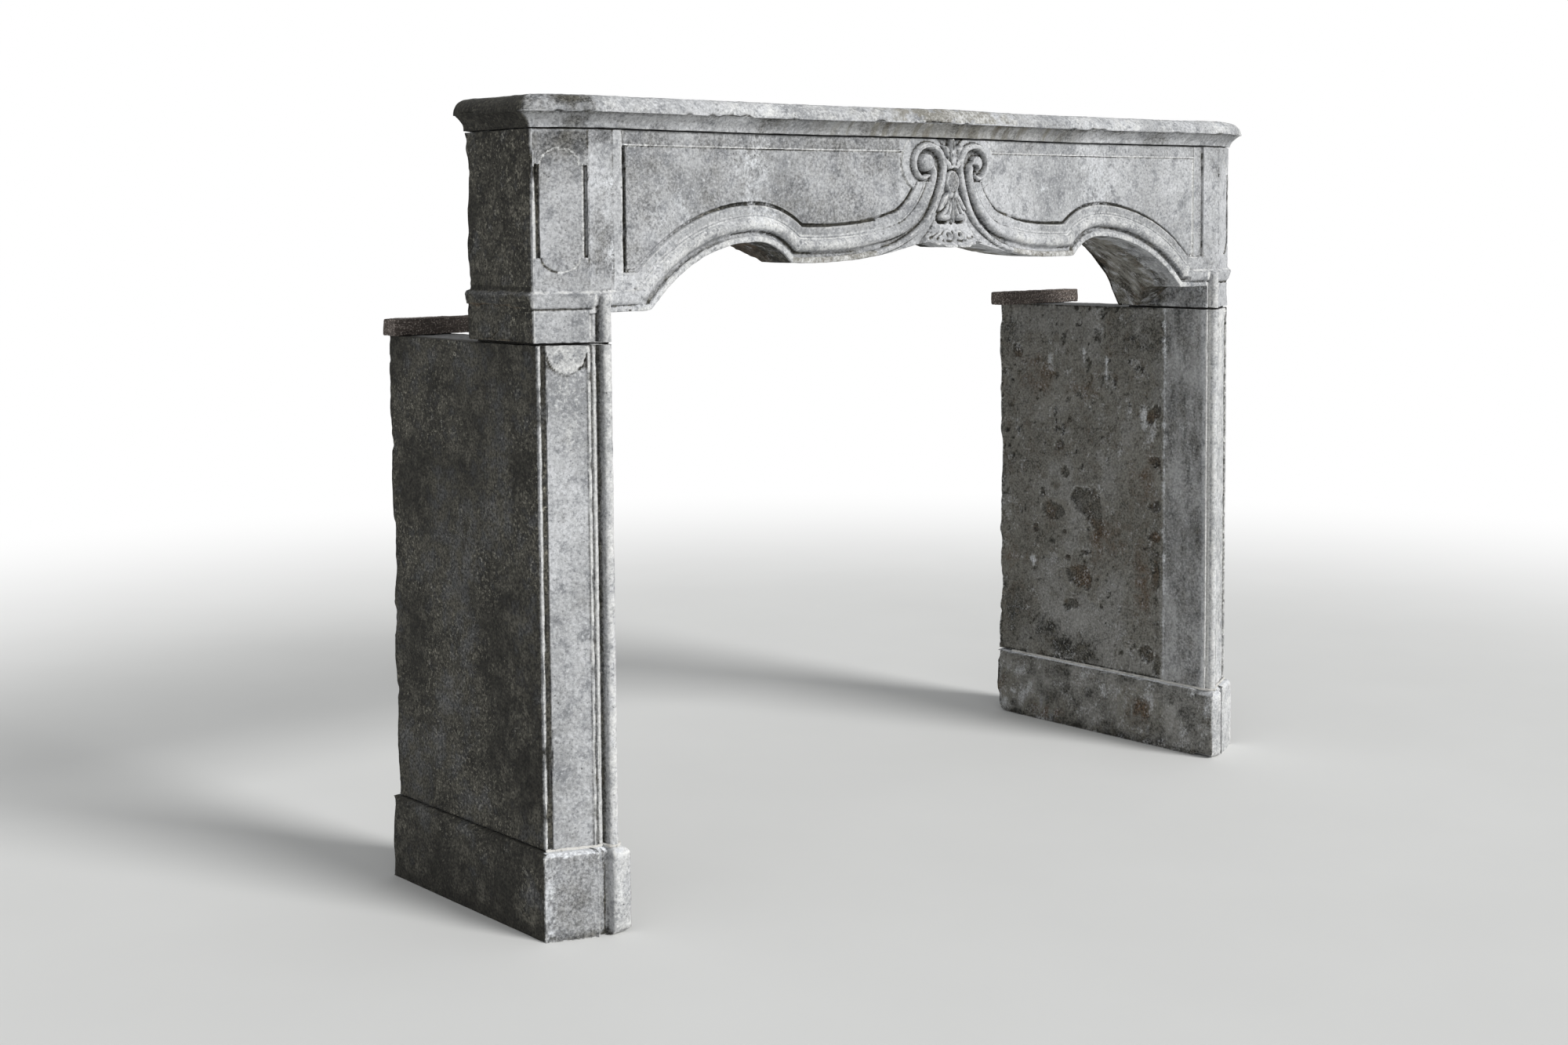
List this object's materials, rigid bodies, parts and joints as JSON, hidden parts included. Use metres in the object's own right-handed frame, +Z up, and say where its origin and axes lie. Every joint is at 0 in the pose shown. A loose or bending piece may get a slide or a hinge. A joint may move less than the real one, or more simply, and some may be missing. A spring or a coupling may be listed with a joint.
{
  "type": "limestone fireplace mantel",
  "caption": "Limestone fireplace mantel with deep canted jambs on plinths, a serpentine frieze with a crossbow arch, scrolls and carved leaf, and a moulded shelf.",
  "frame": {"origin": "on the floor, at the middle of the bounding box", "axes": "+X to the right as seen from the room, +Y from the room towards the wall, +Z up"},
  "size_m": [1.66, 0.556, 1.211],
  "materials": {
    "limestone": "weathered, dressed",
    "lime_mortar": "rough",
    "iron_dowel": "rusty",
    "lead": "dull",
    "dark_timber": "rough sawn"
  },
  "bodies": {
    "root": {"left_plinth": "limestone", "right_plinth": "limestone", "left_jamb": "limestone", "right_jamb": "limestone", "lintel": "limestone", "mantel_shelf": "limestone", "left_plinth_bed": "lime_mortar", "right_plinth_bed": "lime_mortar", "shelf_bed": "lime_mortar", "left_setting_shims": "lead", "right_setting_shims": "lead", "left_plinth_dowels": "iron_dowel", "right_plinth_dowels": "iron_dowel", "left_lintel_dowels": "iron_dowel", "right_lintel_dowels": "iron_dowel", "shelf_dowels": "iron_dowel", "left_batten": "dark_timber", "right_batten": "dark_timber"}
  },
  "joints": []
}
